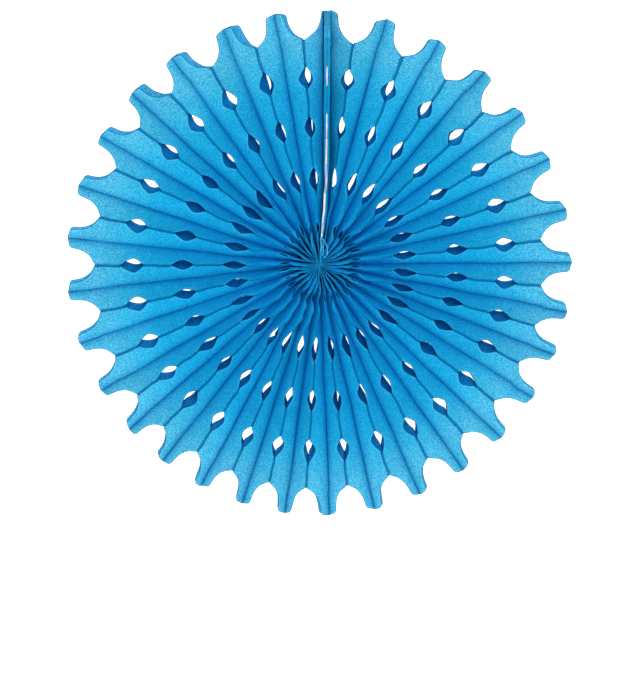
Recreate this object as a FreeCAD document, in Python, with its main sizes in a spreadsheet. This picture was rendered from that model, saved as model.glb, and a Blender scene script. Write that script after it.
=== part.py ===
import FreeCAD, Part
import math
import os
import Sketcher

# A round honeycomb fan of tissue paper, opened all the way round and closed on itself.
#
# Frame: origin at the centre of the fan, on the axis of its spine.  The fan hangs upright:
# +X is to the right of someone who faces it, +Z is up, and its front looks along -Y.
# Angles are measured in the XZ plane from +X towards +Z.
#
# A leaf is a strip of tissue.  u is the distance from the spine along it, and v the distance
# from its middle line across it.  All the leaves and the two end cards have the same outline:
# a straight spine, half diamonds cut out of the front and back edges, and a tongue at the rim.

doc = FreeCAD.newDocument("tissue_fan")

# ---------------------------------------------------------------- driving dimensions
sheet = doc.addObject("Spreadsheet::Sheet", "Dims")
sheet.Label = "Dims"
row = [0]


def cell(alias, value, note=""):
    row[0] += 1
    sheet.set("A%d" % row[0], alias)
    sheet.set("B%d" % row[0], repr(value))
    sheet.set("C%d" % row[0], note)
    sheet.setAlias("B%d" % row[0], alias)


cell("leaf_length", 250.0, "spine to the end of a tongue")
cell("leaf_half", 30.5, "middle line to the front or back edge")
cell("tissue_wall", 0.4, "wall of the tissue")
cell("spine_radius", 6.5, "where the leaves close up on the spine")
cell("spine_dish", 1.5, "how far the spine's ends are dished in")
cell("glue_half", 1.0, "half width of the glue stripe on the cards")
cell("card_wall", 0.9, "thickness of an end card")
cell("card_start", 30.0, "where the end cards begin")
cell("seam_angle", 88.0, "direction of the seam")
# half diamonds: centre along the leaf, half length, depth, half length of the blunt inner end
for n, (c, l, d, b) in enumerate(((36.0, 8.0, 8.5, 2.0), (84.3, 13.3, 12.0, 3.0),
                                  (136.0, 13.0, 9.6, 3.0), (186.8, 13.8, 9.8, 3.0)), 1):
    cell("cut%d_centre" % n, c)
    cell("cut%d_reach" % n, l)
    cell("cut%d_depth" % n, d)
    cell("cut%d_blunt" % n, b)
# the tongue: distance along the leaf, and half width there
for n, (u, v) in enumerate(((223.5, 30.5), (227.5, 20.2), (233.5, 16.1), (241.0, 13.9), (250.0, 11.6)), 1):
    cell("tongue%d_along" % n, u)
    cell("tongue%d_half" % n, v)
# directions of the lines where neighbouring leaves are glued middle to middle
MIDDLES = (100.06, 112.26, 125.30, 137.91, 149.71, 162.03, 174.28, 186.39, 198.32, 210.43,
           220.96, 231.58, 242.14, 252.29, 262.31, 272.56, 282.70, 293.53, 304.84, 316.12,
           328.27, 338.96, 349.16, 360.23, 372.40, 384.66, 396.85, 409.71, 421.88, 434.85)
for n, a in enumerate(MIDDLES, 1):
    cell("middle_%02d" % n, a)
doc.recompute()


def val(alias):
    return float(getattr(sheet, alias))


# ---------------------------------------------------------------- the end cards
def polygon_sketch(body, name, loops):
    """A sketch on the body's XY plane.  A loop is a list of corners; a corner is a pair of
    expressions of the sheet, with the numbers they come to."""
    sk = body.newObject("Sketcher::SketchObject", name)
    plane = [f for f in body.Origin.OriginFeatures if f.Role == "XY_Plane"][0]
    sk.AttachmentSupport = [(plane, "")]
    sk.MapMode = "FlatFace"
    bound = []
    for loop in loops:
        first = sk.GeometryCount
        count = len(loop)
        for i in range(count):
            (_, ax), (_, ay) = loop[i]
            (_, bx), (_, by) = loop[(i + 1) % count]
            sk.addGeometry(Part.LineSegment(FreeCAD.Vector(ax, ay, 0), FreeCAD.Vector(bx, by, 0)), False)
        for i in range(count):
            sk.addConstraint(Sketcher.Constraint("Coincident", first + i, 2, first + (i + 1) % count, 1))
        for i in range(count):
            (ex, ax), (ey, ay) = loop[i]
            for kind, ex_, value in (("DistanceX", ex, ax), ("DistanceY", ey, ay)):
                number = sk.addConstraint(Sketcher.Constraint(kind, -1, 1, first + i, 1, value))
                bound.append((number, ex_))
    for number, expression in bound:
        sk.setExpression("Constraints[%d]" % number, expression)
    return sk


def dim(text):
    """An expression of the sheet's aliases, and its value."""
    value = 0.0
    sign = 1.0
    for word in text.split():
        if word in "+-":
            sign = 1.0 if word == "+" else -1.0
        else:
            value += sign * val(word)
            sign = 1.0
    out = " ".join(w if w in "+-" else "Dims." + w for w in text.split())
    return out, value


def neg(pair):
    return "-(" + pair[0] + ")", -pair[1]


def end_card(label, side):
    body = doc.addObject("PartDesign::Body", label)
    body.Label = label
    upper = [(dim("card_start"), dim("leaf_half"))]
    for n in range(1, 6):
        upper.append((dim("tongue%d_along" % n), dim("tongue%d_half" % n)))
    lower = [(x, neg(y)) for x, y in upper]
    outline = polygon_sketch(body, label + "_outline", [lower + upper[::-1]])
    pad = body.newObject("PartDesign::Pad", label + "_pad")
    pad.Profile = outline
    pad.setExpression("Length", "Dims.card_wall")
    pad.Reversed = side < 0
    doc.recompute()
    plain = pad.Shape.Volume

    # the half diamonds along one edge, then their mirror image along the other; the first
    # cut-out runs past the card's inner end, so the card is only nicked there
    loops = []
    for n in range(1, 5):
        c = "cut%d_centre" % n
        far = dim("leaf_half + card_wall")
        deep = dim("leaf_half - cut%d_depth" % n)
        edge = dim("leaf_half")
        loops.append([(dim(c + " - cut%d_reach" % n), edge), (dim(c + " - cut%d_blunt" % n), deep),
                      (dim(c + " + cut%d_blunt" % n), deep), (dim(c + " + cut%d_reach" % n), edge),
                      (dim(c + " + cut%d_reach" % n), far), (dim(c + " - cut%d_reach" % n), far)])
    cuts = polygon_sketch(body, label + "_cut_outs", loops)
    pocket = body.newObject("PartDesign::Pocket", label + "_pocket")
    pocket.Profile = cuts
    pocket.Type = 1
    pocket.Midplane = True
    doc.recompute()
    mirrored = body.newObject("PartDesign::Mirrored", label + "_other_edge")
    mirrored.Originals = [pocket]
    mirror = [f for f in body.Origin.OriginFeatures if f.Role == "XZ_Plane"][0]
    mirrored.MirrorPlane = (mirror, [""])
    body.Tip = mirrored
    doc.recompute()
    print(label, "volume before and after the cut-outs", round(plain, 1), round(pocket.Shape.Volume, 1),
          round(mirrored.Shape.Volume, 1))
    assert mirrored.Shape.Volume < pocket.Shape.Volume < plain
    body.Placement = FreeCAD.Placement(FreeCAD.Vector(0, 0, 0),
                                       FreeCAD.Rotation(FreeCAD.Vector(0, -1, 0), val("seam_angle")))
    return body


cards = [end_card("end_card_left", +1), end_card("end_card_right", -1)]


# ---------------------------------------------------------------- the tissue
# The leaves are glued in pairs along their front and back edges, and each pair is glued to the
# next along the middle line.  Opened, each pair makes a cell with a rhombic section, and the
# cells hang together along the middle lines, from the spine out to the tongues.
def stations():
    """Where the leaf's outline has a corner: (u, half width, whether the stretch after it is a
    cut-out or the tongue)."""
    out = [(val("spine_radius"), val("leaf_half"), False)]
    for n in range(1, 5):
        c, l = val("cut%d_centre" % n), val("cut%d_reach" % n)
        d, b = val("cut%d_depth" % n), val("cut%d_blunt" % n)
        h = val("leaf_half")
        out += [(c - l, h, True), (c - b, h - d, True), (c + b, h - d, True), (c + l, h, False)]
    for n in range(1, 6):
        out.append((val("tongue%d_along" % n), val("tongue%d_half" % n), True))
    return out


def tissue():
    half, wall = val("leaf_half"), val("tissue_wall")
    outline = stations()
    last = len(outline) - 1
    flat_from = val("tongue1_along")

    def way(degrees):
        a = math.radians(degrees)
        return FreeCAD.Vector(math.cos(a), 0, math.sin(a))

    seam = val("seam_angle")
    angles = [seam] + [val("middle_%02d" % n) for n in range(1, len(MIDDLES) + 1)] + [seam + 360.0]
    cells = len(angles) - 1
    aside = way(seam + 90.0) * val("card_wall")
    points, faces, known = [], [], {}

    def point(key, p):
        if key not in known:
            known[key] = len(points)
            points.append((p.x, p.y, p.z))
        return known[key]

    def middle(m, u):
        p = way(angles[m]) * u
        if m == 0:
            p = p + aside
        if m == cells:
            p = p - aside
        return p

    def slope(c, u, left):
        """Unit vector in the XZ plane from the middle line to the ridge, and the cosine and sine
        of the panel's lean."""
        u1 = min(u, flat_from)
        a, b = middle(c, u1), middle(c + 1, u1)
        ridge = (a + b).normalize() * u1
        start = a if left else b
        s = (ridge - start).Length
        cosine = s / half
        a, b = middle(c, u), middle(c + 1, u)
        ridge = (a + b).normalize() * u
        start = a if left else b
        return (ridge - start).normalize(), cosine, math.sqrt(1.0 - cosine * cosine)

    up = FreeCAD.Vector(0, 1, 0)
    for k, (u, v, _) in enumerate(outline):
        lifts = []
        for m in range(cells + 1):
            near = []
            if m < cells:
                near.append(0.5 * wall / slope(m, u, True)[1])
            if m > 0:
                near.append(0.5 * wall / slope(m - 1, u, False)[1])
            lift = sum(near) / len(near)
            if m in (0, cells):
                lift = max(lift, val("glue_half"))
            lifts.append(lift)
            for side in (-1, 1):
                point(("V", m, k, side), middle(m, u) + up * (side * lift))
        for c in range(cells):
            for left in (True, False):
                m = c if left else c + 1
                way_in, cosine, sine = slope(c, u, left)
                base = middle(m, u)
                thick = 0.5 * wall / sine
                corner = base + way_in * thick
                point(("I", c, k, left), corner)
                reach = half * cosine
                for side in (-1, 1):
                    valley = base + up * (side * lifts[m])
                    cap = base + way_in * (reach - thick) + up * (side * half * sine)
                    # inside, the ridge lies one wall in from the cap's edge
                    inner = base + way_in * reach + up * (side * (half * sine - 0.5 * wall / cosine))
                    f = v / half
                    point(("O", c, k, left, side), valley + (cap - valley) * f)
                    q = corner + (inner - corner) * f
                    if v >= half:
                        point(("A", c, k, side), q)
                        known[("E", c, k, left, side)] = known[("A", c, k, side)]
                    else:
                        point(("E", c, k, left, side), q)

    def face(*corners, flip=False):
        ids = [known[key] for key in corners]
        if flip:
            ids = ids[::-1]
        if len(ids) == 3:
            faces.append(tuple(ids))
        else:
            faces.append((ids[0], ids[1], ids[2]))
            faces.append((ids[0], ids[2], ids[3]))

    for k in range(last):
        n = k + 1
        cut = outline[k][2]
        for c in range(cells):
            for side in (-1, 1):
                f = side > 0
                face(("V", c, k, side), ("V", c, n, side), ("O", c, n, True, side), ("O", c, k, True, side), flip=f)
                face(("O", c, k, False, side), ("O", c, n, False, side), ("V", c + 1, n, side), ("V", c + 1, k, side), flip=f)
                face(("I", c, k, True), ("E", c, k, True, side), ("E", c, n, True, side), ("I", c, n, True), flip=f)
                face(("E", c, k, False, side), ("I", c, k, False), ("I", c, n, False), ("E", c, n, False, side), flip=f)
                if cut:
                    face(("O", c, k, True, side), ("O", c, n, True, side), ("E", c, n, True, side), ("E", c, k, True, side), flip=f)
                    face(("O", c, n, False, side), ("O", c, k, False, side), ("E", c, k, False, side), ("E", c, n, False, side), flip=f)
                else:
                    face(("O", c, k, True, side), ("O", c, n, True, side), ("O", c, n, False, side), ("O", c, k, False, side), flip=f)
        face(("V", 0, n, -1), ("V", 0, k, -1), ("V", 0, k, 1), ("V", 0, n, 1))
        face(("V", cells, k, -1), ("V", cells, n, -1), ("V", cells, n, 1), ("V", cells, k, 1))
    # the ends of the ridges at each cut-out
    for k in range(1, last):
        before, after = outline[k - 1][2], outline[k][2]
        if before == after:
            continue
        for c in range(cells):
            for side in (-1, 1):
                a, b, e = ("O", c, k, True, side), ("O", c, k, False, side), ("A", c, k, side)
                if after:
                    face(b, a, e, flip=side > 0)
                else:
                    face(a, b, e, flip=side > 0)
    # the ends of the tongues
    for c in range(cells):
        for side in (-1, 1):
            f = side > 0
            face(("V", c, last, side), ("I", c, last, True), ("E", c, last, True, side), ("O", c, last, True, side), flip=f)
            face(("V", c + 1, last, side), ("O", c, last, False, side), ("E", c, last, False, side), ("I", c, last, False), flip=f)
        face(("V", c, last, -1), ("V", c, last, 1), ("I", c, last, True))
        face(("V", c + 1, last, -1), ("I", c, last, False), ("V", c + 1, last, 1))
    # the spine
    point(("C", -1), up * -(half - val("spine_dish")))
    point(("C", 1), up * (half - val("spine_dish")))
    for c in range(cells):
        for side in (-1, 1):
            f = side > 0
            face(("C", side), ("V", c, 0, side), ("O", c, 0, True, side), flip=f)
            face(("C", side), ("O", c, 0, True, side), ("O", c, 0, False, side), flip=f)
            face(("C", side), ("O", c, 0, False, side), ("V", c + 1, 0, side), flip=f)
        face(("A", c, 0, -1), ("I", c, 0, True), ("A", c, 0, 1))
        face(("A", c, 0, -1), ("A", c, 0, 1), ("I", c, 0, False))
    for side in (-1, 1):
        face(("C", side), ("V", cells, 0, side), ("V", 0, 0, side), flip=side > 0)
    face(("V", 0, 0, -1), ("V", cells, 0, -1), ("V", cells, 0, 1), ("V", 0, 0, 1))

    # every edge is shared by just two faces, once each way round
    edges = {}
    for tri in faces:
        for i in range(3):
            e = (tri[i], tri[(i + 1) % 3])
            assert e not in edges, "an edge is used twice the same way"
            edges[e] = 1
    assert all((b, a) in edges for a, b in edges), "an edge is open"
    print("tissue:", len(points), "corners,", len(faces), "facets")
    return points, faces


points, faces = tissue()
shape = Part.Shape()
shape.makeShapeFromMesh((points, faces), 1e-4)
print(shape.ShapeType, len(shape.Faces), len(shape.Edges))
shells = shape.Shells
if not shells:
    shape.sewShape()
    shells = shape.Shells
print("shells", len(shells))
solid = Part.Solid(shells[0])
if solid.Volume < 0:
    solid.reverse()
print("volume", solid.Volume, solid.isValid())

honeycomb = doc.addObject("Part::Feature", "tissue_honeycomb")
honeycomb.Label = "tissue_honeycomb"
honeycomb.Shape = solid
honeycomb.Placement = FreeCAD.Placement(FreeCAD.Vector(0, 0, 0), FreeCAD.Rotation())

# ---------------------------------------------------------------- check and write
doc.recompute()
for obj in doc.Objects:
    if "Invalid" in obj.State or "Error" in obj.State:
        raise RuntimeError("%s did not compute: %s" % (obj.Name, obj.State))
pieces = cards + [honeycomb]
for obj in pieces:
    s = obj.Shape
    if s.isNull() or not s.isValid() or len(s.Solids) != 1:
        raise RuntimeError("%s has a bad shape" % obj.Label)

os.makedirs("parts", exist_ok=True)
for obj in pieces:
    obj.Shape.exportStep("parts/%s.step" % obj.Label)
    b = obj.Shape.BoundBox
    print("%-18s %8.1f mm3  X %.1f..%.1f  Y %.1f..%.1f  Z %.1f..%.1f" % (
        obj.Label, obj.Shape.Volume, b.XMin, b.XMax, b.YMin, b.YMax, b.ZMin, b.ZMax))
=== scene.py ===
import math
import bpy
import numpy as np
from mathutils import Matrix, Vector


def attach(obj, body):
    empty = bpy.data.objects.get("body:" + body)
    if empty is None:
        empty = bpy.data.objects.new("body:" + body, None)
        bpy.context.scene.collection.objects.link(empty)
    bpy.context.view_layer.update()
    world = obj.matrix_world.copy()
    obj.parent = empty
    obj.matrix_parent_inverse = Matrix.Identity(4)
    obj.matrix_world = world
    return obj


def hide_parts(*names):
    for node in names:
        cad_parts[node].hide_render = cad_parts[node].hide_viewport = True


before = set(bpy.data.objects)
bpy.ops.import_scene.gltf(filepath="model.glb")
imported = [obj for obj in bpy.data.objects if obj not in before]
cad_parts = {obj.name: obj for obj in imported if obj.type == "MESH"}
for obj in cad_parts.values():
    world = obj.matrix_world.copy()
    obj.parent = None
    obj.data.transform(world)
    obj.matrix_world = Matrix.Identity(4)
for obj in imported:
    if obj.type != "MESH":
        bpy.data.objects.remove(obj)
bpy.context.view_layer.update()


MM = 0.001

# ---------------------------------------------------------------- the fan's plan, in millimetres
# Directions of the lines where neighbouring leaves are glued middle to middle, and of the front
# ridges between them, counterclockwise from +X as seen from the front.  The first is the seam.
MIDDLES = [88.0, 100.06, 112.26, 125.30, 137.91, 149.71, 162.03, 174.28, 186.39, 198.32, 210.43,
           220.96, 231.58, 242.14, 252.29, 262.31, 272.56, 282.70, 293.53, 304.84, 316.12,
           328.27, 338.96, 349.16, 360.23, 372.40, 384.66, 396.85, 409.71, 421.88, 434.85]
RIDGES = [93.9, 106.3, 118.8, 131.1, 143.0, 155.1, 168.0, 180.5, 192.3, 204.4, 215.6, 226.2,
          236.9, 247.2, 256.9, 266.5, 277.3, 288.4, 299.2, 310.3, 322.0, 333.7, 344.0, 354.3,
          365.9, 378.2, 390.4, 402.6, 415.4, 428.1, 441.4]
CELLS = len(RIDGES)

HALF = 31.0        # middle line of a leaf to its front edge
STRIP = 2.5        # half of the strip that is glued back to back along the middle
ARM = HALF - STRIP  # from the strip to the ridge
FLANGE = 1.3       # glued strip of a ridge
SHEET = 0.13       # thickness shown for the tissue
TOUCH = 0.075      # half of the distance between two glued leaves
RIM = 250.0
NOTCH = 223.5
INNER = 0.45
# half diamonds: middle along the leaf, half length, depth.  The deepest place lies a little inward.
CUTS = ((36.0, 8.0, 8.5), (84.3, 14.4, 12.2), (136.0, 13.0, 9.8), (186.8, 13.8, 9.9))
DEEPEST = (-0.10, -0.06, -0.10, -0.20)
# how far out each notch between two tongues reaches
NOTCHES = [223.0, 223.5, 222.8, 224.0, 224.2, 223.3, 223.3, 223.9, 223.7, 223.7, 223.8, 224.9, 224.1, 224.1, 223.8, 224.3, 223.1, 222.8, 222.8, 222.7, 222.7, 222.4, 223.5, 222.1, 221.8, 221.8, 221.7, 221.9, 222.1, 221.8, 220.8]

rng = np.random.RandomState(20)


def smoothstep(x, a, b):
    t = np.clip((np.asarray(x, float) - a) / (b - a), 0.0, 1.0)
    return t * t * (3.0 - 2.0 * t)


def waves(u, lengths, seed):
    """A smooth random wave along u, about unit size."""
    r = np.random.RandomState(seed)
    total = np.zeros_like(u)
    for length in lengths:
        total += r.uniform(0.6, 1.0) * np.sin(2 * math.pi * u / (length * r.uniform(0.85, 1.2)) + r.uniform(0, 6.28))
    return total / math.sqrt(len(lengths)) * 0.9


# ---------------------------------------------------------------- rows along a leaf
corners = [INNER, NOTCH, RIM]
for (c, l, d), at in zip(CUTS, DEEPEST):
    corners += [c - l, c + at * l, c + l]
rows = list(corners)
for u in np.arange(INNER, RIM, 2.1):
    if min(abs(u - c) for c in corners) > 0.9:
        rows.append(u)
rows += [224.2, 225.0, 226.0, 227.2, 248.7, 249.3, 249.75]
U = np.array(sorted(set(rows)))
NU = len(U)


def soft_tip(x, power=1.5):
    """1 at x 0 and 0 at x 1: the flank of a leaf shape, pointed at the end."""
    return 1.0 - np.abs(x) ** power


def cut_depth(u, scale=(1.0, 1.0, 1.0, 1.0), blunt=1.5):
    depth = np.zeros_like(u)
    for (c, l, d), at, part in zip(CUTS, DEEPEST, scale):
        x = (u - c) / l
        x = np.where(x > at, (x - at) / (1 - at), (at - x) / (1 + at))
        inner = (u - c) / l < at
        shape = np.where(inner, soft_tip(np.minimum(x, 1.0), blunt), soft_tip(np.minimum(x, 1.0)))
        depth = np.where(x < 1.0, d * part * shape, depth)
    return depth


# ---------------------------------------------------------------- the curve of a panel across
ARC = np.concatenate([np.linspace(0, 10, 41), np.linspace(10, ARM - 3.5, 24)[1:],
                      np.linspace(ARM - 3.5, ARM, 36)[1:]])


def panel(span, bend_m, bend_f, lean):
    """The section of a panel for every row: lateral and forward distance at each point of ARC.
    It leaves the middle strip straight forward (or leaning), crosses at a steady slope, and
    turns forward again into the flange of the ridge."""
    near = np.exp(-ARC[None, :] / bend_m[:, None])
    far = np.exp(-np.maximum(ARM - FLANGE - ARC, 0.0)[None, :] / bend_f)
    weight = np.clip(1.0 - near - far, 0.0, 1.0)
    extra = lean[:, None] * near
    lo = np.full(len(span), -0.6)
    hi = np.full(len(span), math.radians(100.0))
    step = np.diff(ARC)[None, :]

    def run(slope):
        phi = slope[:, None] * weight + extra
        s, c = np.sin(phi), np.cos(phi)
        lat = np.concatenate([np.zeros((len(span), 1)), np.cumsum((s[:, 1:] + s[:, :-1]) / 2 * step, axis=1)], axis=1)
        fwd = np.concatenate([np.zeros((len(span), 1)), np.cumsum((c[:, 1:] + c[:, :-1]) / 2 * step, axis=1)], axis=1)
        return lat, fwd

    for _ in range(26):
        mid = (lo + hi) / 2
        lat, _f = run(mid)
        short = lat[:, -1] < span
        lo = np.where(short, mid, lo)
        hi = np.where(short, hi, mid)
    lat, fwd = run((lo + hi) / 2)
    off = (span - lat[:, -1])[:, None] * (ARC[None, :] / ARM)
    return lat + off, fwd


def direction(a):
    a = np.radians(a)
    return np.stack([np.cos(a), np.sin(a)], axis=-1)


# Middle lines, in the plane of the fan: [row, (x, z)].
def middle_line(k, side):
    if k % CELLS == 0:
        # the valleys beside the end cards run straight, and only close up near the spine
        x = (10.8 if side < 0 else 4.3) * np.ones_like(U)
        x0 = 0.9 if side < 0 else -0.3
        t = smoothstep(U, 4.0, 62.0)
        x = x0 + (x - x0) * t
        if side < 0:
            x = x + 2.6 * np.exp(-((U - 220.0) / 9.0) ** 2) + 0.7 * np.exp(-((U - 168.0) / 9.0) ** 2)
        return np.stack([x, U], axis=-1)
    line = U[:, None] * direction(MIDDLES[k % CELLS])[None, :]
    t = direction(MIDDLES[k % CELLS] + 90.0)
    sway = 0.35 * waves(U, (95.0, 60.0), 300 + k) * smoothstep(U, 30, 90)
    return line + sway[:, None] * t[None, :]


def ridge_line(k, seed, offset):
    a = RIDGES[k % CELLS]
    stretch = (NOTCHES[k % CELLS] - 2.2 - NOTCH) * smoothstep(U, 150, 220)
    base = (U + stretch)[:, None] * direction(a)[None, :]
    t = direction(a + 90.0)
    if seed == 10:
        base = base - (0.9 * math.sin(math.radians(a)) * smoothstep(U, 20, 70) * (1 - smoothstep(U, 198, 222)))[:, None] * direction(a)[None, :]
    toward = np.array(offset)[None, :] * ((1 - U / 225.0).clip(0, 1) * smoothstep(U, 0, 30))[:, None]
    gap = U * math.radians(5.8)
    inner = (1 - smoothstep(U, 58, 98)) * smoothstep(U, 14, 34)
    size_w = np.minimum(0.38 + 0.5 * inner, 0.35 * gap)
    sway = size_w * waves(U, (37.0, 24.0), seed + k) + 0.22 * size_w * waves(U, (9.0, 13.0), seed + 77 + k)
    # near the spine neighbouring ridges lie over the same way
    turn = math.radians(a)
    together = 0.0
    r = np.random.RandomState(seed)
    for n in (1, 2, 3, 5):
        together = together + r.uniform(0.4, 0.9) * np.sin(n * turn + r.uniform(0, 6.28) + U / r.uniform(14, 26))
    sway = sway + np.minimum(1.25 * inner, 0.25 * gap) * together
    return base + toward + sway[:, None] * t[None, :]


def tongue_side(angle):
    """How far the back of a tongue stands off its front, sideways, counterclockwise positive."""
    table = {100.06: -1.6, 112.26: -4.2, 125.30: -2.8, 137.91: -2.8, 149.71: -1.8}
    for a, value in table.items():
        if abs(a - angle) < 0.5:
            return value
    return 1.3 * math.cos(math.radians(angle))


# how far a whole tongue stands aside of its middle line, counterclockwise positive
ASIDE = {100.06: 0.5, 112.26: -0.15, 125.30: 0.9, 137.91: -0.4, 149.71: 0.75, 162.03: 0.35, 174.28: 0.15, 186.39: 0.75,
         198.32: 0.95, 210.43: -0.6, 220.96: 0.65, 231.58: 0.15, 242.14: -0.75, 252.29: -0.15, 262.31: -0.2, 272.56: -1.1,
         282.70: -0.3, 316.12: 0.5, 328.27: -2.1, 338.96: -1.3, 349.16: -1.25, 360.23: -0.2, 372.40: -0.35, 384.66: -1.1,
         396.85: -1.5, 409.71: -2.0, 421.88: -1.1, 434.85: -0.95}
# how far the back of a tongue peeps out beside its front
PEEP = {112.26: -3.6, 125.30: -2.4, 137.91: -2.2, 149.71: -1.0, 100.06: -0.8, 272.56: -1.5, 328.27: -1.5}


def back_shift(k_angle, at_tongue):
    """The back of the fan hangs a little higher than its front: its shift in the plane."""
    r = direction(k_angle)
    t = direction(k_angle + 90.0)
    far = smoothstep(U, 100, 185)
    lift = np.radians(70.0 + 6.0 * far - k_angle)
    side = ((6.2 - 1.9 * far) * np.sin(lift) - 0.6) * (1 - smoothstep(U, 198, 238)) + at_tongue * smoothstep(U, 198, 238)
    out = 5.9 * np.cos(lift) * (1 - 0.85 * smoothstep(U, 198, 226)) * (1 - smoothstep(U, 226, 250))
    fade = smoothstep(U, 4, 30)
    return side * fade, out * fade, r, t


# Ridges of the front and of the back.
FRONT = [ridge_line(k, 10, (2.0, 0.6)) for k in range(CELLS)]
BACK = []
for k in range(CELLS):
    side, out, r, t = back_shift(RIDGES[k], 1.3 * math.cos(math.radians(RIDGES[k])))
    BACK.append(ridge_line(k, 510, (0.0, 0.0)) + side[:, None] * t[None, :] + out[:, None] * r[None, :])


def unit(v):
    return v / np.maximum(np.linalg.norm(v, axis=-1, keepdims=True), 1e-9)


class Arm:
    """One half of a leaf, in front of the middle or behind it."""

    def __init__(self, k, side, front):
        ridge = (FRONT if front else BACK)[(k if side > 0 else k - 1) % CELLS]
        mid = middle_line(k, side)
        angle = MIDDLES[k % CELLS]
        s, out, r, t = back_shift(angle, tongue_side(angle) if k % CELLS else 0.0)
        swing = np.clip(s, -3.4, 3.4) if k % CELLS else 0.0 * s
        if k % CELLS:
            tilt = np.arcsin(np.clip(swing / (2 * STRIP), -0.75, 0.75))
        else:
            tilt = 0.0 * s
        self.depth = STRIP * np.cos(tilt)
        if not front:
            mid = mid + swing[:, None] * t[None, :] + (out * 0.25)[:, None] * r[None, :]
        self.mid = mid
        across = ridge - mid
        self.span = np.linalg.norm(across, axis=1)
        self.side = unit(across)
        # past the notches nothing holds the edges: the panels keep their slope
        at = int(np.argmin(np.abs(U - NOTCH)))
        hold = np.minimum(self.span, self.span[at])
        self.hold = np.where(U > NOTCH, self.span[at], hold)
        lean = (-1.0 if front else 1.0) * side * tilt * 0.7
        if k % CELLS == 0 and side > 0:
            # beside the seam the left half of the tongue stands nearly edge on
            self.hold = self.hold * (1 - 0.72 * smoothstep(U, 226, 243))
        bend = (5.2 if front else 3.0) * (1 + 0.12 * rng.randn() * np.ones_like(U))
        bend = np.minimum(bend, 1.2 + self.hold * 0.35)
        self.lat, self.fwd = panel(np.maximum(self.hold - 2 * TOUCH, 0.02), bend, 0.6, lean)
        self.end = self.fwd[:, -1].copy()


ARMS = {}
for k in range(CELLS):
    for side in (1, -1):
        for front in (True, False):
            ARMS[(k, side, front)] = Arm(k, side, front)
# the two panels of a ridge meet at one height
for k in range(CELLS):
    for front in (True, False):
        a = ARMS[(k, 1, front)]
        b = ARMS[((k + 1) % CELLS, -1, front)]
        joint = (a.end + b.end + (a.depth - STRIP) + (b.depth - STRIP)) / 2
        for arm in (a, b):
            arm.fwd = arm.fwd + (joint - arm.end - (arm.depth - STRIP))[:, None] * (ARC[None, :] / ARM) ** 1.4

# ---------------------------------------------------------------- outline of a leaf
def outline(scale, blunt=1.5):
    """Distance from the middle to the edge of the leaf for each row."""
    edge = HALF - cut_depth(U, scale, blunt)
    # half width of the tongue as it looks from the front, and the width of paper that gives it
    seen = np.interp(U, [NOTCH, 224.6, 225.8, 227.0, 228.3, 230.0, 231.9, 233.6, 235.6, 237.4, 241.2, 246.0, 250.0],
                     [22.6, 21.2, 19.2, 17.0, 14.9, 13.2, 12.1, 11.1, 10.3, 9.7, 9.1, 8.7, 8.5])
    sample = [ARMS[(k, s, True)] for k in range(1, CELLS) for s in (1, -1)]
    for i in np.nonzero(U > NOTCH)[0]:
        lat = np.mean([a.lat[i] for a in sample], axis=0) + TOUCH
        edge[i] = min(STRIP + np.interp(seen[i], lat, ARC), HALF)
        if U[i] > 247.5:
            edge[i] -= 1.9 * ((U[i] - 247.5) / 2.5) ** 2.2
    return edge


EDGE = outline((1.0, 1.0, 1.0, 1.0))
# how far each hole of the back shows open: a factor for each ridge, from the third ring of
# holes out to the rim
BACK_OPEN = {
    5.9: (1.14, 0.70, 0.96), 18.2: (0.74, 0.74, 0.85), 30.4: (1.12, 1.02, 0.78), 42.6: (1.40, 1.00, 0.78),
    55.4: (1.24, 0.67, 0.70), 68.1: (0.48, 0.58, 0.65), 81.4: (1.22, 0.78, 0.92), 93.9: (0.42, 0.32, 0.71),
    106.3: (0.75, 0.55, 0.40), 118.8: (1.05, 0.62, 0.83), 131.1: (0.55, 1.00, 0.99), 143.0: (0.55, 0.62, 0.78),
    155.1: (1.00, 0.64, 1.12), 168.0: (1.00, 0.60, 1.03), 180.5: (1.00, 0.55, 0.93), 192.3: (1.30, 1.30, 1.24),
    204.4: (1.30, 1.00, 1.15), 215.6: (1.30, 1.22, 1.48), 226.2: (1.12, 1.18, 0.72), 236.9: (1.55, 1.25, 1.40),
    247.2: (0.96, 1.28, 1.38), 256.9: (1.32, 1.35, 1.35), 266.5: (0.55, 0.68, 0.75), 277.3: (0.42, 0.42, 0.86),
    288.4: (0.60, 0.86, 0.85), 299.2: (0.67, 0.71, 0.93), 310.3: (1.10, 1.18, 1.04), 322.0: (0.55, 0.55, 0.55),
    333.7: (1.00, 0.55, 0.56), 344.0: (1.00, 0.55, 0.55), 354.3: (1.00, 0.74, 1.02)}
EDGE_BACKS = []
for angle in RIDGES:
    third, second, first = BACK_OPEN[round(angle % 360, 1)]
    EDGE_BACKS.append(outline((0.0, 0.88 * third, 0.80 * second, 0.78 * first), 2.8))

FRONT_COLS = np.array([0.0, 0.9, 1.8, STRIP, 3.1, 3.9, 4.9, 6.2, 8.2, 11.0, 14.5, 18.0, 21.5, 25.0, 27.6, 28.8, 29.5, HALF])
BACK_COLS = np.array([1.3, STRIP, 3.6, 5.6, 9.0, 14.0, 19.0, 24.0, 28.4, HALF])
DEEP = 16.5


def columns(cols, edge):
    """Positions across for every row, squeezed to the edge of that row."""
    out = np.zeros((NU, len(cols)))
    for i in range(NU):
        if U[i] > NOTCH:
            out[i] = cols * edge[i] / HALF
        else:
            out[i] = np.where(cols <= DEEP, cols, DEEP + (cols - DEEP) * (edge[i] - DEEP) / (HALF - DEEP))
    return out


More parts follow.
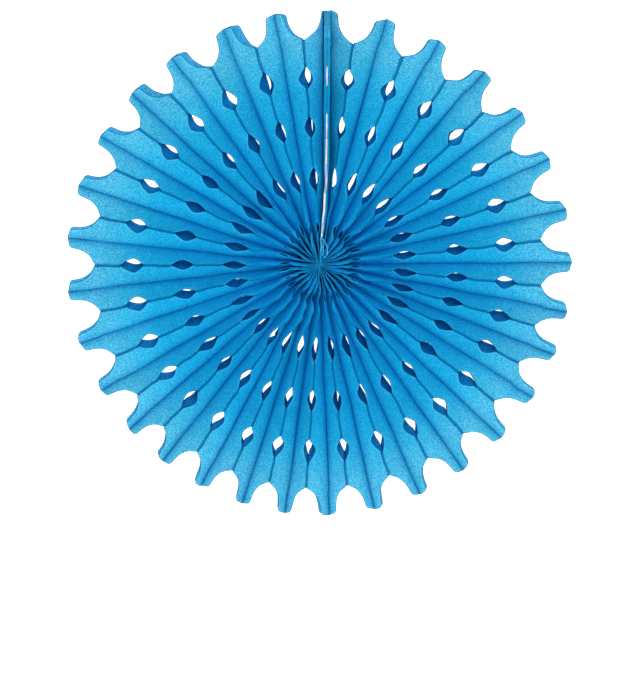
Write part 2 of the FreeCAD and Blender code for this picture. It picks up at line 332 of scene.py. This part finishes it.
def noise2(u, v, seed, lu, lv):
    """Smooth value noise over the leaf, about unit size."""
    r = np.random.RandomState(seed)
    grid = r.randn(64, 32)
    a = u / lu + 3.3
    b = v / lv + 9.7
    i, j = np.floor(a).astype(int), np.floor(b).astype(int)
    fa, fb = a - i, b - j
    fa, fb = fa * fa * (3 - 2 * fa), fb * fb * (3 - 2 * fb)
    g = lambda p, q: grid[p % 64, q % 32]
    return (g(i, j) * (1 - fa) * (1 - fb) + g(i + 1, j) * fa * (1 - fb)
            + g(i, j + 1) * (1 - fa) * fb + g(i + 1, j + 1) * fa * fb)


def flange_lean(k, front):
    """How far the edge of a ridge is laid over, counterclockwise positive."""
    seed = (2100 if front else 2600) + k % CELLS
    turn = -1.0 if math.cos(math.radians(RIDGES[k % CELLS])) > 0 else 1.0
    outer = turn * (1.45 + 0.25 * waves(U, (60.0, 27.0), seed))
    gap = U * math.radians(11.6)
    r = np.random.RandomState(seed + 40)
    inner = np.minimum(0.80 * gap, 2.7) * np.clip(0.70 + 0.25 * r.randn() + 0.22 * waves(U, (21.0, 13.0), seed + 9), 0.10, 1.0)
    inner = inner * turn * min(1.0, 0.2 + 3.0 * abs(math.cos(math.radians(RIDGES[k % CELLS]))))
    part = smoothstep(U, 45, 92)
    return inner * (1 - part) + outer * part


def arm_points(arm, dist, front):
    """Points of an arm, [row, column, xyz], at distances from the middle beyond the strip."""
    n, m = dist.shape
    pts = np.zeros((n, m, 3))
    sign = -1.0 if front else 1.0
    for i in range(n):
        d = dist[i]
        arc = np.clip(d - STRIP, 0.0, ARM)
        lat = TOUCH + np.interp(arc, ARC, arm.lat[i])
        fwd = np.interp(arc, ARC, arm.fwd[i])
        pts[i, :, 0] = arm.mid[i, 0] + arm.side[i, 0] * lat
        pts[i, :, 2] = arm.mid[i, 1] + arm.side[i, 1] * lat
        pts[i, :, 1] = sign * (arm.depth[i] + fwd)
    return pts


def leaf_grid(k, side):
    fa, ba = ARMS[(k, side, True)], ARMS[(k, side, False)]
    seed = 1000 + 2 * k + (side > 0)
    fd = columns(FRONT_COLS, EDGE)
    at = (k if side > 0 else k - 1) % CELLS
    bd = columns(BACK_COLS, EDGE_BACKS[at])
    front = arm_points(fa, fd, True)
    back = arm_points(ba, bd, False)
    across = direction(RIDGES[at] + 90.0)
    for pts, d, is_front in ((front, fd, True), (back, bd, False)):
        wide = 3.0 + 3.5 * (1 - smoothstep(U, 45, 92))[:, None]
        lay = flange_lean(at, is_front)[:, None] * np.clip((d - (HALF - wide)) / wide, 0, 1) ** 1.2
        pts[:, :, 0] += lay * across[0]
        pts[:, :, 2] += lay * across[1]
        # the fan's faces are dished in a little at the spine
        r = np.random.RandomState(3000 + at + 50 * is_front)
        dish = 1 - (0.10 + 0.09 * r.rand()) * (1 - smoothstep(U, 0, 20))
        pts[:, :, 1] *= dish[:, None]
    # past the notches the back of a tongue stands a little aside of its front
    swing = PEEP.get(MIDDLES[k % CELLS], 0.0) * smoothstep(U, 223, 234)
    beside = direction(MIDDLES[k % CELLS] + 90.0)
    back[:, :, 0] += swing[:, None] * beside[0]
    back[:, :, 2] += swing[:, None] * beside[1]
    # the strip between the front valley and the back valley
    mid_f = front[:, 3, :].copy()
    mid_b = back[:, 1, :].copy()
    for i in range(NU):
        lo, hi = -STRIP, STRIP
        for j in range(3):
            w = min(fd[i, j], STRIP)
            t = (w + STRIP) / (2 * STRIP)
            front[i, j] = mid_b[i] * (1 - t) + mid_f[i] * t
        w = min(bd[i, 0], STRIP)
        t = (STRIP - w) / (2 * STRIP)
        back[i, 0] = mid_b[i] * (1 - t) + mid_f[i] * t
    grid = np.concatenate([back[:, ::-1, :], front], axis=1)
    dist = np.concatenate([-bd[:, ::-1], fd], axis=1)
    uu = np.repeat(U[:, None], grid.shape[1], axis=1)

    # normals of the sheet
    normal = sheet_normals(grid)
    # slack and small wrinkles of the panels, none where the leaf is glued
    free = smoothstep(np.abs(dist), STRIP, STRIP + 4.0) * (1 - smoothstep(np.abs(dist), HALF - 5.0, HALF - 1.2))
    loose = (0.22 * noise2(uu, dist, seed, 34.0, 17.0) + 0.10 * noise2(uu, dist, seed + 500, 11.0, 7.0)
             + 0.035 * noise2(uu, dist, seed + 900, 4.6, 3.2))
    edge = np.where(dist > 0, EDGE[:, None], EDGE_BACKS[at][:, None])
    curl = np.clip(1 - (edge - np.abs(dist)) / 4.0, 0, 1) ** 2 * (edge < HALF - 1.0)
    bend = curl * (0.45 * noise2(uu, np.sign(dist) * 7.0, seed + 1300, 9.0, 5.0) - 0.25 * side * np.sign(dist))
    limit = np.minimum(1.0, uu / 70.0)
    grid = grid + normal * (loose * free * limit + bend)[:, :, None]
    shift = ASIDE.get(MIDDLES[k % CELLS], 0.0) * smoothstep(uu, 222.5, 231)
    grid[:, :, 0] += shift * beside[0]
    grid[:, :, 2] += shift * beside[1]
    # the end of the tongue is cut a little round
    r = np.random.RandomState(6000 + k)
    out = np.clip((uu - 238.0) / 12.0, 0, 1) * (1.3 * (1 - (dist / 14.0) ** 2) - 0.6 + side * 0.045 * r.randn() * np.abs(dist))
    rad = unit(grid[:, :, [0, 2]])
    grid[:, :, 0] += out * rad[:, :, 0]
    grid[:, :, 2] += out * rad[:, :, 1]
    return grid, dist, edge - np.abs(dist)


def sheet_normals(grid):
    du = np.gradient(grid, axis=0)
    dv = np.gradient(grid, axis=1)
    n = np.cross(du, dv)
    return unit(n)


def sheet_mesh(name, grid, dist, to_edge, thickness, material, inside=None, along=None):
    """A thin closed solid on both sides of a grid of points.  inside says which of its faces
    looks into a cell, where the material paints shade: the one along the normal (True), the other (False), both (2) or
    none."""
    n, m, _ = grid.shape
    normal = sheet_normals(grid)
    top = (grid + normal * thickness / 2).reshape(-1, 3)
    low = (grid - normal * thickness / 2).reshape(-1, 3)
    points = np.concatenate([top, low]) * MM
    idx = np.arange(n * m).reshape(n, m)
    a, b, c, d = idx[:-1, :-1], idx[1:, :-1], idx[1:, 1:], idx[:-1, 1:]
    up = np.stack([a, b, c, d], axis=-1).reshape(-1, 4)
    down = up[:, ::-1] + n * m
    ring = np.concatenate([idx[0, :], idx[1:, -1], idx[-1, -2::-1], idx[-2:0:-1, 0]])
    nxt = np.roll(ring, -1)
    wall = np.stack([ring, nxt, nxt + n * m, ring + n * m], axis=-1)
    faces = np.concatenate([up, down, wall]).astype(np.int32)
    mesh = bpy.data.meshes.new(name)
    mesh.vertices.add(len(points))
    mesh.vertices.foreach_set("co", points.astype(np.float32).ravel())
    mesh.loops.add(faces.size)
    mesh.loops.foreach_set("vertex_index", faces.ravel())
    mesh.polygons.add(len(faces))
    mesh.polygons.foreach_set("loop_start", np.arange(0, faces.size, 4, dtype=np.int32))
    mesh.polygons.foreach_set("use_smooth", np.ones(len(faces), dtype=bool))
    uv = mesh.uv_layers.new(name="leaf")
    uu = np.repeat(U[:n, None], m, axis=1) if n == NU else np.repeat(np.linspace(0, 250, n)[:, None], m, axis=1)
    if along is not None:
        uu = np.full((n, m), along)
    flat = np.stack([uu / 250.0, dist / 61.0 + 0.5], axis=-1).reshape(-1, 2)
    flat = np.concatenate([flat, flat])
    uv.data.foreach_set("uv", flat[faces.ravel()].astype(np.float32).ravel())
    rim = mesh.uv_layers.new(name="rim")
    flat = np.stack([np.clip(to_edge, 0, 30) / 30.0, (250.0 - uu) / 250.0], axis=-1).reshape(-1, 2)
    flat = np.concatenate([flat, flat])
    rim.data.foreach_set("uv", flat[faces.ravel()].astype(np.float32).ravel())
    if inside is not None:
        flag = np.zeros(2 * n * m, dtype=np.float32)
        if inside is not False:
            flag[:n * m] = 1.0
        if inside is not True:
            flag[n * m:] = 1.0
        mesh.attributes.new("inside", "FLOAT", "POINT").data.foreach_set("value", flag)
    mesh.update(calc_edges=True)
    mesh.validate()
    mesh.set_sharp_from_angle(angle=math.radians(50))
    mesh.materials.append(material)
    obj = bpy.data.objects.new(name, mesh)
    bpy.context.scene.collection.objects.link(obj)
    return obj


# ---------------------------------------------------------------- materials
# colour along a leaf, from the spine to the end of the tongue: the blue of the dye with painted light in it, paler and
# greener towards the rim, where the panels are brightly lit, deeper towards the spine, where they lie in shade
RADIAL_DYE_AND_LIGHT = [(0.0, (0.006, 0.37, 0.78)), (0.08, (0.006, 0.49, 0.97)), (0.20, (0.006, 0.50, 0.94)), (0.36, (0.008, 0.495, 0.88)), (0.55, (0.008, 0.46, 0.83)),
          (0.70, (0.014, 0.47, 0.81)), (0.79, (0.032, 0.51, 0.82)), (0.88, (0.062, 0.54, 0.82)), (1.0, (0.070, 0.55, 0.82))]


def node(tree, kind, **values):
    made = tree.nodes.new(kind)
    for key, value in values.items():
        setattr(made, key, value)
    return made


def tissue_material(name, number, value=1.0, pale_all=False, cover=False, valley_shade=0.9):
    mat = bpy.data.materials.new(name)
    mat.use_nodes = True
    tree = mat.node_tree
    tree.nodes.clear()
    link = tree.links.new
    out = node(tree, "ShaderNodeOutputMaterial")
    shader = node(tree, "ShaderNodeBsdfPrincipled")
    shader.inputs["Roughness"].default_value = 0.8
    shader.inputs["Specular IOR Level"].default_value = 0.0
    through = node(tree, "ShaderNodeBsdfTranslucent")
    mix = node(tree, "ShaderNodeMixShader")
    mix.inputs[0].default_value = 0.16
    link(shader.outputs[0], mix.inputs[1])
    link(through.outputs[0], mix.inputs[2])
    link(mix.outputs[0], out.inputs["Surface"])

    def math_node(kind, a, b=None):
        made = node(tree, "ShaderNodeMath", operation=kind)
        for slot, value in ((0, a), (1, b)):
            if value is None:
                continue
            if isinstance(value, (int, float)):
                made.inputs[slot].default_value = value
            else:
                link(value, made.inputs[slot])
        return made.outputs[0]

    def ranged(value, a, b, c, d):
        made = node(tree, "ShaderNodeMapRange")
        made.interpolation_type = "SMOOTHSTEP"
        for key, number_ in (("From Min", a), ("From Max", b), ("To Min", c), ("To Max", d)):
            made.inputs[key].default_value = number_
        link(value, made.inputs["Value"])
        return made.outputs[0]

    def blended(kind, factor, a, b):
        made = node(tree, "ShaderNodeMix", data_type="RGBA", blend_type=kind)
        for slot, value in ((0, factor), (6, a), (7, b)):
            if isinstance(value, (int, float, tuple)):
                made.inputs[slot].default_value = value
            else:
                link(value, made.inputs[slot])
        return made.outputs[2]

    where = node(tree, "ShaderNodeTexCoord")
    leaf_uv = node(tree, "ShaderNodeUVMap", uv_map="leaf")
    leaf_at = node(tree, "ShaderNodeSeparateXYZ")
    link(leaf_uv.outputs[0], leaf_at.inputs[0])
    rim_uv = node(tree, "ShaderNodeUVMap", uv_map="rim")
    rim_at = node(tree, "ShaderNodeSeparateXYZ")
    link(rim_uv.outputs[0], rim_at.inputs[0])
    # millimetres from the middle line, from the cut edge, and from the end of the tongue
    from_mid = math_node("MULTIPLY", math_node("ABSOLUTE", math_node("SUBTRACT", leaf_at.outputs[1], 0.5)), 61.0)
    from_edge = math_node("MULTIPLY", rim_at.outputs[0], 30.0)
    from_end = math_node("MULTIPLY", rim_at.outputs[1], 250.0)

    def noise(scale, detail, rough, vector):
        made = node(tree, "ShaderNodeTexNoise")
        made.inputs["Scale"].default_value = scale
        made.inputs["Detail"].default_value = detail
        made.inputs["Roughness"].default_value = rough
        link(vector, made.inputs["Vector"])
        return made.outputs[0]

    cloud = noise(70.0, 2.0, 0.5, where.outputs["Object"])
    mottle = noise(780.0, 2.0, 0.6, where.outputs["Object"])
    grain = noise(1080.0, 2.0, 0.7, where.outputs["Object"])
    stretch = node(tree, "ShaderNodeMapping")
    stretch.inputs["Scale"].default_value = (700.0, 190.0, 1.0)
    link(leaf_uv.outputs[0], stretch.inputs[0])
    fibre = noise(1.0, 3.0, 0.6, stretch.outputs[0])

    # the dye with painted light: deeper towards the spine, where the panels lie in shade, paler and greener at the rim,
    # where they are brightly lit
    ramp = node(tree, "ShaderNodeValToRGB")
    link(leaf_at.outputs[0], ramp.inputs[0])
    stops = [(0.0, (0.05, 0.46, 0.80)), (1.0, (0.07, 0.50, 0.84))] if pale_all else RADIAL_DYE_AND_LIGHT
    ramp.color_ramp.elements[0].position = stops[0][0]
    ramp.color_ramp.elements[0].color = stops[0][1] + (1,)
    ramp.color_ramp.elements[1].position = stops[-1][0]
    ramp.color_ramp.elements[1].color = stops[-1][1] + (1,)
    for position, colour in stops[1:-1]:
        ramp.color_ramp.elements.new(position).color = colour + (1,)
    colour = ramp.outputs[0]

    # grain: pale flecks and darker pits between the fibres, over a soft cloudiness
    specks = math_node("ADD", math_node("MULTIPLY", mottle, 0.5), math_node("MULTIPLY", grain, 0.5))
    pale = ranged(specks, 0.49, 0.62, 0.0, 1.0)
    dark = ranged(specks, 0.51, 0.38, 0.0, 1.0)
    colour = blended("MULTIPLY", pale, colour, (3.6, 1.26, 1.10, 1))
    colour = blended("MULTIPLY", math_node("MULTIPLY", dark, 0.95), colour, (0.28, 0.62, 0.76, 1))
    soft = ranged(cloud, 0.30, 0.70, 0.0, 1.0)
    colour = blended("MULTIPLY", math_node("MULTIPLY", soft, 0.35), colour, (0.55, 0.82, 0.90, 1))
    crepe = ranged(fibre, 0.56, 0.74, 0.0, 1.0)
    colour = blended("MULTIPLY", math_node("MULTIPLY", crepe, 0.30), colour, (0.50, 0.80, 0.88, 1))

    # painted shade: a broad darkening on both sides of the middle line, standing in for the shade in the valley there;
    # glue stripes: darker lines along the middle and along the ridge, with a pale border
    wide = math_node("MULTIPLY", ranged(from_mid, 3.0, 14.0, 1.0, 0.0), ranged(leaf_at.outputs[0], 0.25, 0.75, 0.25, 1.0))
    colour = blended("MULTIPLY", math_node("MULTIPLY", wide, valley_shade), colour, (0.45, 0.78, 0.90, 1))
    mid = ranged(from_mid, 2.0, 3.7, 1.0, 0.0)
    ridge = math_node("MULTIPLY", ranged(from_mid, HALF - 3.6, HALF - 2.4, 0.0, 1.0), ranged(leaf_at.outputs[0], 0.16, 0.36, 0.05, 1.0))
    glue = math_node("MAXIMUM", mid, ridge)
    colour = blended("MIX", math_node("MULTIPLY", glue, 0.20 if cover else 0.85), colour, (0.002, 0.200, 0.500, 1))
    # between the crowded ridges at the spine the valleys lie in deep shade
    pit = math_node("MULTIPLY", ranged(from_mid, HALF - 15.0, HALF - 5.0, 0.80, 0.0), ranged(leaf_at.outputs[0], 0.05, 0.17, 1.0, 0.0))
    colour = blended("MULTIPLY", pit, colour, (0.10, 0.22, 0.30, 1))
    # painted highlight: near the spine the crests of the ridges are painted pale, where light catches them
    crest = math_node("MULTIPLY", ranged(from_mid, HALF - 0.9, HALF - 0.3, 0.0, 1.0), ranged(leaf_at.outputs[0], 0.12, 0.30, 0.65, 0.0))
    colour = blended("MIX", crest, colour, (0.040, 0.56, 0.88, 1))
    # cut edges: a dark line, painted shade along the edge, with a pale one inside it, a painted highlight
    end = math_node("MINIMUM", from_edge, from_end)
    inside = math_node("MULTIPLY", ranged(end, 0.7, 1.1, 0.0, 1.0), ranged(end, 1.3, 2.4, 1.0, 0.0))
    inside = math_node("MULTIPLY", inside, ranged(from_mid, HALF - 4.2, HALF - 3.2, 1.0, 0.0))
    colour = blended("MIX", math_node("MULTIPLY", inside, 0.10 if cover else 0.30), colour, (0.16, 0.66, 0.93, 1))
    line = math_node("MULTIPLY", ranged(end, 0.45, 0.95, 1.0, 0.0), ranged(leaf_at.outputs[0], 0.16, 0.30, 0.0, 1.0))
    colour = blended("MIX", math_node("MULTIPLY", line, 0.40 if cover else 0.85), colour, (0.001, 0.165, 0.400, 1))

    # painted shade: the faces that look into a cell are darkened and deepened in colour, for the shade inside the cells
    inside = node(tree, "ShaderNodeAttribute", attribute_name="inside")
    depth = 0.75 if cover else ranged(leaf_at.outputs[0], 0.885, 0.905, 0.85, 0.25)
    shade = math_node("MULTIPLY", inside.outputs["Fac"], depth)
    colour = blended("MULTIPLY", shade, colour, (0.20, 0.70, 0.80, 1) if cover else (0.30, 0.62, 0.92, 1))

    # each sheet takes the dye a little differently
    sheet = node(tree, "ShaderNodeHueSaturation")
    local = np.random.RandomState(4000 + number)
    sheet.inputs["Value"].default_value = value + 0.05 * float(np.clip(local.randn(), -1.5, 1.5))
    sheet.inputs["Saturation"].default_value = 1.0
    link(colour, sheet.inputs["Color"])
    link(sheet.outputs[0], shader.inputs["Base Color"])
    link(sheet.outputs[0], through.inputs["Color"])

    # relief: the grain of the tissue and fine crepe lines
    relief = math_node("ADD", math_node("ADD", mottle, math_node("MULTIPLY", grain, 0.8)), fibre)
    bump = node(tree, "ShaderNodeBump")
    bump.inputs["Strength"].default_value = 0.5
    bump.inputs["Distance"].default_value = 0.0006
    link(relief, bump.inputs["Height"])
    link(bump.outputs[0], shader.inputs["Normal"])
    link(bump.outputs[0], through.inputs["Normal"])
    return mat


def card_material():
    mat = bpy.data.materials.new("white_card")
    mat.use_nodes = True
    tree = mat.node_tree
    shader = tree.nodes["Principled BSDF"]
    shader.inputs["Roughness"].default_value = 0.6
    shader.inputs["Specular IOR Level"].default_value = 0.3
    where = node(tree, "ShaderNodeTexCoord")
    grain = node(tree, "ShaderNodeTexNoise")
    grain.inputs["Scale"].default_value = 160.0
    grain.inputs["Detail"].default_value = 5.0
    tree.links.new(where.outputs["Object"], grain.inputs["Vector"])
    ramp = node(tree, "ShaderNodeValToRGB")
    ramp.color_ramp.elements[0].position = 0.38
    ramp.color_ramp.elements[0].color = (0.80, 0.66, 0.58, 1)
    ramp.color_ramp.elements[1].position = 0.60
    ramp.color_ramp.elements[1].color = (0.95, 0.93, 0.95, 1)
    tree.links.new(grain.outputs[0], ramp.inputs[0])
    tree.links.new(ramp.outputs[0], shader.inputs["Base Color"])
    bump = node(tree, "ShaderNodeBump")
    bump.inputs["Strength"].default_value = 0.3
    bump.inputs["Distance"].default_value = 0.0003
    tree.links.new(grain.outputs[0], bump.inputs["Height"])
    tree.links.new(bump.outputs[0], shader.inputs["Normal"])
    return mat


# ---------------------------------------------------------------- the leaves
tissues = [tissue_material("tissue_blue_%d" % i, i) for i in range(8)]
tissues.append(tissue_material("tissue_cover", 8, 0.94, False, True))
tissues.append(tissue_material("tissue_loose", 9, 1.0, True))
# the leaf beside the seam gets less of the painted shade along its middle line
tissues.append(tissue_material("tissue_beside", 10, 1.0, False, False, 0.35))
count = 0
for k in range(CELLS):
    for side in (-1, 1):
        count += 1
        grid, dist, to_edge = leaf_grid(k, side)
        number = rng.randint(8)
        leaf = sheet_mesh("leaf_%02d" % count, grid, dist, to_edge, SHEET, tissues[10 if (k, side) == (0, -1) else number], side < 0)
        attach(leaf, "root")
        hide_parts("tissue_honeycomb")

# ---------------------------------------------------------------- the end cards and their cover leaves
CARD_U = U[U >= 29.0]
card_mat = card_material()


def seam_centre(u):
    """Where the two cards lie, across, at the middle line."""
    return np.interp(u, [0, 30, 62, 250], [0.3, 3.2, 7.5, 7.55])


def seam_front(u):
    """Where the cards' front edges lie."""
    return np.interp(u, [0, 29, 38, 53, 97, 123, 180, 250], [1.4, 2.5, 2.9, 4.8, 6.6, 7.3, 7.7, 7.9])


def card_grid(sign):
    edge = np.minimum(np.interp(CARD_U, U, EDGE), 1000) - 2.9
    top = np.max(edge)
    cols = np.array([-28.1, -27.6, -22, -14, -7, 0, 7, 14, 20, 24, 27.0, 28.1]) / 28.1
    grid = np.zeros((len(CARD_U), len(cols), 3))
    dist = np.zeros((len(CARD_U), len(cols)))
    for i, u in enumerate(CARD_U):
        d = cols * edge[i]
        t = np.clip(d / top, 0, 1)
        x = seam_centre(u) * (1 - t ** 2) + seam_front(u) * t ** 2
        grid[i, :, 0] = x + sign * 0.47
        grid[i, :, 1] = -d
        grid[i, :, 2] = u
        dist[i] = d
    return grid, dist


for sign, name in ((-1, "card_left"), (1, "card_right")):
    grid, dist = card_grid(sign)
    card = sheet_mesh(name, grid, dist, 30.0 + 0 * dist, 0.86, card_mat)
    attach(card, "root")
    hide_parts("end_card_left" if sign < 0 else "end_card_right")


def cover_grid(sign):
    """The leaf that is glued to a card.  It stands along the card's face, a little off it, and
    its front edge is turned in over the card's edge, except where it has come open."""
    valley = middle_line(0, -sign)[:, 0] - 0.05 * sign
    fd = columns(COVER_COLS, EDGE)
    bd = columns(BACK_COLS, EDGE)
    dist = np.concatenate([-bd[:, ::-1], fd], axis=1)
    grid = np.zeros((NU, dist.shape[1], 3))
    # 1 where the edges of the two cover leaves meet over the cards, 0 where they are open
    full = (EDGE > HALF - np.where(U > 160, 4.2, 0.8)) | (U > 222)
    closed = np.maximum(smoothstep(U, 141, 151), 1 - smoothstep(U, 24, 29)) * np.where(full, 1.0, 0.0)
    wave = 0.20 * waves(U, (31.0, 17.0), 61 + sign)
    for i, u in enumerate(U):
        d = dist[i]
        centre = np.where(d >= 0, seam_front(u), seam_centre(u))
        row = np.where(d >= 0, EDGE[i], EDGE[i])
        crest = row - 2.9
        q = np.clip(np.abs(d) / row, 0, 1)
        room = max(abs(valley[i] - seam_front(u)) - 0.35, 0.0)
        reach = min(2.95, room) if u < 140 else 2.95
        reach = max(reach, 1.0)
        lip = 0.004 + 0.10 * float(smoothstep(u, 224, 236)) + 0.55 * (1 - closed[i])
        t = np.clip(q / 0.84, 0, 1)
        out = 0.95 + (reach - 0.95) * np.sin(t * math.pi / 2) ** 0.8
        y = t * (crest - 1.7)
        a = np.clip((q - 0.84) / 0.16, 0, 1) * math.pi / 2
        turned = np.where(d > 0, 1.0, 0.0)
        top = crest + 0.55 * closed[i] - 0.05 * (1 - closed[i])
        # at the middle the leaf comes out to the glued strip of its neighbour
        meet = 1 - smoothstep(np.abs(d), STRIP + 0.4, STRIP + 6.0)
        out = out * (1 - meet) + np.abs(valley[i] - centre) * meet
        out = np.where(q > 0.84, lip + (reach - lip) * np.cos(a), out) * turned + (1 - turned) * ((0.95 + 0.9 * np.sin(q * math.pi)) * (1 - meet) + np.abs(valley[i] - centre) * meet)
        y = np.where(q > 0.84, crest - 1.7 + (top - crest + 1.7) * np.sin(a), y) * turned + (1 - turned) * q * (crest + 0.4)
        grid[i, :, 0] = centre + sign * out + wave[i] * np.sin(q * math.pi) * (1 - meet)
        grid[i, :, 1] = -np.sign(d) * y
        grid[i, :, 2] = u
    uu = np.repeat(U[:, None], dist.shape[1], axis=1)
    fine = 0.20 * noise2(uu, dist, 70 + sign, 16.0, 11.0) + 0.08 * noise2(uu, dist, 90 + sign, 6.0, 5.0)
    free = smoothstep(np.abs(dist), STRIP + 0.4, STRIP + 6.0)
    grid[:, :, 0] += fine * np.sin(np.clip(np.abs(dist) / EDGE[:, None], 0, 1) * math.pi) * smoothstep(uu, 5, 20) * free
    return grid, dist, EDGE[:, None] - np.abs(dist)


COVER_COLS = np.array([0.0, 1.4, STRIP, 3.3, 4.4, 5.8, 8.5, 12.0, 16.0, 20.0, 23.5, 25.5, 26.4, 27.2, 28.0, 28.8, 29.6, 30.3, HALF])
for sign, name in ((-1, "cover_leaf_left"), (1, "cover_leaf_right")):
    grid, dist, to_edge = cover_grid(sign)
    cover = sheet_mesh(name, grid, dist, to_edge, SHEET, tissues[8], 2)
    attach(cover, "root")
    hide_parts("tissue_honeycomb")

# ---------------------------------------------------------------- loose glued ends at the spine
def ribbon(name, path, width, seed, along, material):
    """A narrow crumpled end of the tissue.  path is a list of points (x, y, z)."""
    path = np.array(path, float)
    n, m = 61, 7
    at = np.linspace(0, len(path) - 1, n)
    r = np.random.RandomState(seed)
    line = np.zeros((n, 3))
    for i, a in enumerate(at):
        j = min(int(a), len(path) - 2)
        f = a - j
        p0, p1, p2, p3 = path[max(j - 1, 0)], path[j], path[j + 1], path[min(j + 2, len(path) - 1)]
        line[i] = 0.5 * ((2 * p1) + (p2 - p0) * f + (2 * p0 - 5 * p1 + 4 * p2 - p3) * f ** 2
                         + (3 * p1 - p0 - 3 * p2 + p3) * f ** 3)
    tangent = unit(np.gradient(line, axis=0))
    out = np.array([0.0, -1.0, 0.0])
    side = unit(np.cross(tangent, out[None, :]))
    face = unit(np.cross(side, tangent))
    turn = 0.55 * np.sin(at * r.uniform(2.0, 3.0) + r.uniform(0, 6)) + 0.25 * np.sin(at * 6.1 + 1.0)
    across = side * np.cos(turn)[:, None] + face * np.sin(turn)[:, None]
    over = np.cross(tangent, across)
    w = width * (0.75 + 0.25 * np.sin(at * r.uniform(3, 5) + r.uniform(0, 6))) * np.minimum(1, 0.35 + 2.0 * np.minimum(at, at[-1] - at))
    v = np.linspace(-0.5, 0.5, m)
    grid = line[:, None, :] + across[:, None, :] * (v[None, :] * w[:, None])[:, :, None]
    cup = (v[None, :] ** 2 * 1.6 * w[:, None]) + 0.10 * np.sin(at * 17.0)[:, None] * np.cos(v * 9.0)[None, :]
    grid = grid + over[:, None, :] * cup[:, :, None]
    flat = np.full((n, m), 12.0)
    obj = sheet_mesh(name, grid, flat, flat, SHEET, material, None, along)
    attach(obj, "root")
    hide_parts("tissue_honeycomb")
    return obj


ribbon("loose_end_01", [(2.0, -31.3, 27.5), (1.6, -31.4, 23.5), (2.2, -31.2, 19.0), (1.6, -31.0, 15.0), (2.2, -30.2, 11.5)], 2.0, 5, 236.0, tissues[9])
ribbon("loose_end_02", [(2.9, -31.4, 25.8), (4.6, -31.7, 23.8), (6.6, -31.7, 19.5), (8.2, -31.5, 15.0), (8.3, -31.0, 11.0), (6.4, -30.4, 7.6),
                        (4.4, -30.0, 6.4)], 1.5, 11, 215.0, tissues[9])
ribbon("loose_end_03", [(3.6, -31.6, 22.5), (4.3, -31.7, 19.5), (3.5, -31.3, 16.0), (4.4, -30.9, 12.6), (3.4, -30.4, 9.6), (4.2, -29.8, 7.4)], 1.2, 23, 246.0, tissues[9])

# ---------------------------------------------------------------- backdrop
def backdrop():
    """A pale floor that sweeps up into a wall behind the fan."""
    profile = []
    floor_z, wall_y, radius = -0.80, 6.4, 1.4
    profile.append((-2.6, floor_z))
    profile.append((wall_y - radius, floor_z))
    for i in range(1, 16):
        a = math.pi / 2 * i / 16
        profile.append((wall_y - radius + radius * math.sin(a), floor_z + radius - radius * math.cos(a)))
    profile.append((wall_y, floor_z + radius))
    profile.append((wall_y, 8.5))
    verts, faces = [], []
    for x in (-11.0, 11.0):
        for y, z in profile:
            verts.append((x, y, z))
    n = len(profile)
    for i in range(n - 1):
        faces.append((i, n + i, n + i + 1, i + 1))
    mesh = bpy.data.meshes.new("backdrop")
    mesh.from_pydata(verts, [], faces)
    for p in mesh.polygons:
        p.use_smooth = True
    obj = bpy.data.objects.new("backdrop", mesh)
    bpy.context.scene.collection.objects.link(obj)
    mat = bpy.data.materials.new("backdrop_paper")
    mat.use_nodes = True
    shader = mat.node_tree.nodes["Principled BSDF"]
    shader.inputs["Base Color"].default_value = (0.93, 0.93, 0.93, 1)
    shader.inputs["Roughness"].default_value = 0.95
    shader.inputs["Specular IOR Level"].default_value = 0.1
    shader.inputs["Emission Color"].default_value = (1, 1, 1, 1)
    shader.inputs["Emission Strength"].default_value = 0.13
    grain = mat.node_tree.nodes.new("ShaderNodeTexNoise")
    grain.inputs["Scale"].default_value = 60.0
    bump = mat.node_tree.nodes.new("ShaderNodeBump")
    bump.inputs["Strength"].default_value = 0.02
    mat.node_tree.links.new(grain.outputs[0], bump.inputs["Height"])
    mat.node_tree.links.new(bump.outputs[0], shader.inputs["Normal"])
    obj.data.materials.append(mat)
    glow = mat.copy()
    glow.name = "backdrop_lit"
    lit = glow.node_tree.nodes["Principled BSDF"]
    lit.inputs["Emission Color"].default_value = (1, 1, 1, 1)
    lit.inputs["Emission Strength"].default_value = 0.55
    obj.data.materials.append(glow)
    for p in mesh.polygons[1:]:
        p.material_index = 1


backdrop()


def area(name, place, target, wide, high, power, colour=(1, 1, 1)):
    data = bpy.data.lights.new(name, "AREA")
    data.shape = "RECTANGLE"
    data.size, data.size_y = wide, high
    data.energy = power
    data.color = colour
    obj = bpy.data.objects.new(name, data)
    bpy.context.scene.collection.objects.link(obj)
    obj.location = place
    aim = Vector(target) - Vector(place)
    obj.rotation_euler = aim.to_track_quat("-Z", "Y").to_euler()
    return obj


world = bpy.data.worlds.new("studio")
bpy.context.scene.world = world
world.use_nodes = True
world.node_tree.nodes["Background"].inputs[0].default_value = (1, 1, 1, 1)
world.node_tree.nodes["Background"].inputs[1].default_value = 0.50

key = area("key_light", (0.30, -5.6, 0.75), (0, 0, 0), 1.7, 1.7, 161.0)
floor_light = area("floor_light", (0.0, 0.4, 2.5), (0, 1.7, -0.2), 3.4, 0.5, 70.0)

# ---------------------------------------------------------------- camera
elevation = math.radians(2.0)
away = 5.0
cam_data = bpy.data.cameras.new("camera")
cam = bpy.data.objects.new("camera", cam_data)
bpy.context.scene.collection.objects.link(cam)
cam.location = (0.0, -away * math.cos(elevation), away * math.sin(elevation))
cam.rotation_euler = (math.pi / 2 - elevation, 0.0, 0.0)
cam_data.sensor_width = 36.0
cam_data.lens = 1.008 * away * 36.0 / 0.7
cam_data.shift_x = 0.8 / 700.0
cam_data.shift_y = -87.0 / 700.0
cam_data.clip_start, cam_data.clip_end = 0.1, 30.0
cam_data.dof.use_dof = False
bpy.context.scene.camera = cam

bpy.context.scene.view_settings.view_transform = "Standard"
bpy.context.scene.view_settings.look = "None"
